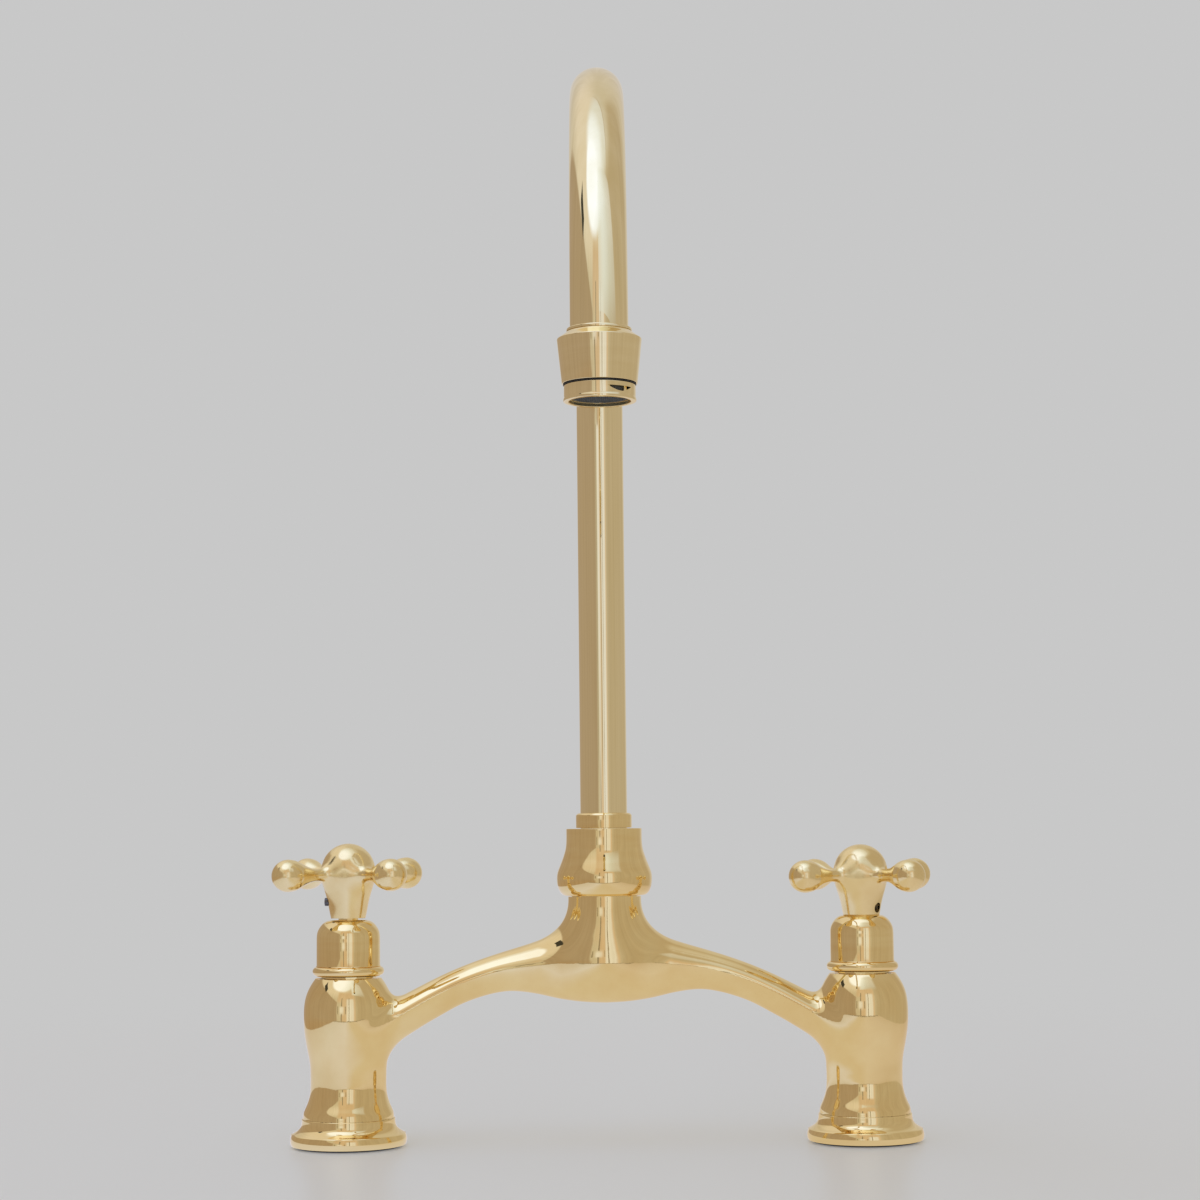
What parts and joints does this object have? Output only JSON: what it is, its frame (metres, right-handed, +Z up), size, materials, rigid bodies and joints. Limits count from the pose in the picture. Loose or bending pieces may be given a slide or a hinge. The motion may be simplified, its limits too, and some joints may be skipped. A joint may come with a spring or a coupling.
{
  "type": "bridge kitchen faucet",
  "caption": "Deck-mounted bridge kitchen faucet in polished brass, with a swivelling gooseneck spout and quarter-turn cross handles.",
  "frame": {"origin": "bottom centre of the whole faucet's box, on the deck's surface; pillars and column stand 0.0998 m behind it", "axes": "+Z up, along the pillars and the column; +X from the left (hot) pillar to the right (cold) one; the spout reaches towards -Y"},
  "size_m": [0.2611, 0.2593, 0.3939],
  "materials": {
    "polished_brass": "mirror polished, unlacquered",
    "turned_brass": "turned, unpolished",
    "dark_steel": "blackened, satin",
    "rubber": "matt black",
    "nylon": "natural, matt",
    "ceramic": "lapped white ceramic",
    "dark_plastic": "moulded, matt"
  },
  "bodies": {
    "faucet_body": {"bridge_body": "polished_brass", "left_base_flange": "polished_brass", "left_base_gasket": "rubber", "left_bonnet_cover": "polished_brass", "left_cartridge_body": "turned_brass", "left_seat_seal": "rubber", "left_fixed_disc": "ceramic", "right_base_flange": "polished_brass", "right_base_gasket": "rubber", "right_bonnet_cover": "polished_brass", "right_cartridge_body": "turned_brass", "right_seat_seal": "rubber", "right_fixed_disc": "ceramic", "spout_nut": "polished_brass", "spout_thrust_washer": "nylon"},
    "spout": {"spout_tube": "polished_brass", "spout_ferrule": "polished_brass", "spout_spigot": "turned_brass", "spigot_lower_seal": "rubber", "spigot_upper_seal": "rubber", "spout_slip_ring": "nylon", "outlet_collar": "polished_brass", "outlet_washer": "rubber", "aerator_housing": "polished_brass", "aerator_insert": "dark_plastic", "aerator_inlet_screen": "dark_plastic"},
    "left_stem": {"left_handle": "polished_brass", "left_set_screw": "dark_steel", "left_spindle": "turned_brass", "left_moving_disc": "ceramic", "left_spindle_seal": "rubber", "left_retaining_clip": "dark_steel"},
    "right_stem": {"right_handle": "polished_brass", "right_set_screw": "dark_steel", "right_spindle": "turned_brass", "right_moving_disc": "ceramic", "right_spindle_seal": "rubber", "right_retaining_clip": "dark_steel"}
  },
  "joints": [
    {"name": "spout_swivel", "type": "hinge", "parent": "faucet_body", "child": "spout", "pos_m": [0, 0.0998, 0.1125], "axis": [0, 0, 1], "continuous": true},
    {"name": "left_handle_turn", "type": "hinge", "parent": "faucet_body", "child": "left_stem", "pos_m": [-0.1016, 0.0998, 0.0889], "axis": [0, 0, 1], "range_deg": [0, 90]},
    {"name": "right_handle_turn", "type": "hinge", "parent": "faucet_body", "child": "right_stem", "pos_m": [0.1016, 0.0998, 0.0889], "axis": [0, 0, 1], "range_deg": [-90, 0]}
  ]
}
